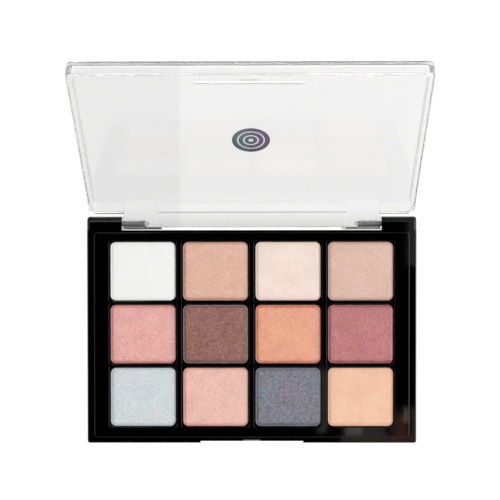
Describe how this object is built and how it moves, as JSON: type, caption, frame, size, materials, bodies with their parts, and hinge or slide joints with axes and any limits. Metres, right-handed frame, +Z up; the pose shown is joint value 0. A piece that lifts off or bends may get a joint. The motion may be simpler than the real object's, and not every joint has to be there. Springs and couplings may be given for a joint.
{
  "type": "eyeshadow palette",
  "caption": "Slim rectangular makeup palette: black tray with a grid of square pressed-powder pans and a clear lid hinged along its back edge.",
  "frame": {"origin": "centre of the base's underside, on the surface that the palette lies on", "axes": "+X to the right of a user facing the thumb notch, +Y from the thumb notch to the hinge, +Z up"},
  "size_m": [0.134, 0.1478, 0.0782],
  "materials": {
    "case_black": "high gloss black moulded plastic",
    "frame_black": "high gloss black moulded plastic",
    "pan_metal": "bright thin sheet",
    "glue": "soft tacky adhesive",
    "pin_steel": "drawn steel wire",
    "lid_clear": "clear polished plastic",
    "emblem_foil": "iridescent blue green foil with a plain ring",
    "shade_front_1": "icy blue grey, shimmer pressed powder",
    "shade_front_2": "pink, shimmer pressed powder",
    "shade_front_3": "slate blue, shimmer pressed powder",
    "shade_front_4": "apricot, near matte pressed powder",
    "shade_middle_1": "rosy pink, shimmer pressed powder",
    "shade_middle_2": "mauve brown, shimmer pressed powder",
    "shade_middle_3": "coral peach, shimmer pressed powder",
    "shade_middle_4": "dusty rose, shimmer pressed powder",
    "shade_rear_1": "white, matte pressed powder",
    "shade_rear_2": "peach champagne, shimmer pressed powder",
    "shade_rear_3": "ivory pink, satin pressed powder",
    "shade_rear_4": "light taupe pink, shimmer pressed powder"
  },
  "bodies": {
    "base": {"base_case": "case_black", "pan_frame": "frame_black", "pan_front_1": "pan_metal", "pan_front_2": "pan_metal", "pan_front_3": "pan_metal", "pan_front_4": "pan_metal", "pan_middle_1": "pan_metal", "pan_middle_2": "pan_metal", "pan_middle_3": "pan_metal", "pan_middle_4": "pan_metal", "pan_rear_1": "pan_metal", "pan_rear_2": "pan_metal", "pan_rear_3": "pan_metal", "pan_rear_4": "pan_metal", "shadow_front_1": "shade_front_1", "shadow_front_2": "shade_front_2", "shadow_front_3": "shade_front_3", "shadow_front_4": "shade_front_4", "shadow_middle_1": "shade_middle_1", "shadow_middle_2": "shade_middle_2", "shadow_middle_3": "shade_middle_3", "shadow_middle_4": "shade_middle_4", "shadow_rear_1": "shade_rear_1", "shadow_rear_2": "shade_rear_2", "shadow_rear_3": "shade_rear_3", "shadow_rear_4": "shade_rear_4", "pan_glue": "glue", "hinge_pin_left": "pin_steel", "hinge_pin_right": "pin_steel"},
    "lid": {"lid": "lid_clear", "lid_emblem": "emblem_foil"}
  },
  "joints": [
    {"name": "lid_hinge", "type": "hinge", "parent": "base", "child": "lid", "pos_m": [0, 0.04328, 0.004], "axis": [1, 0, 0], "range_deg": [0, 124.5]}
  ]
}
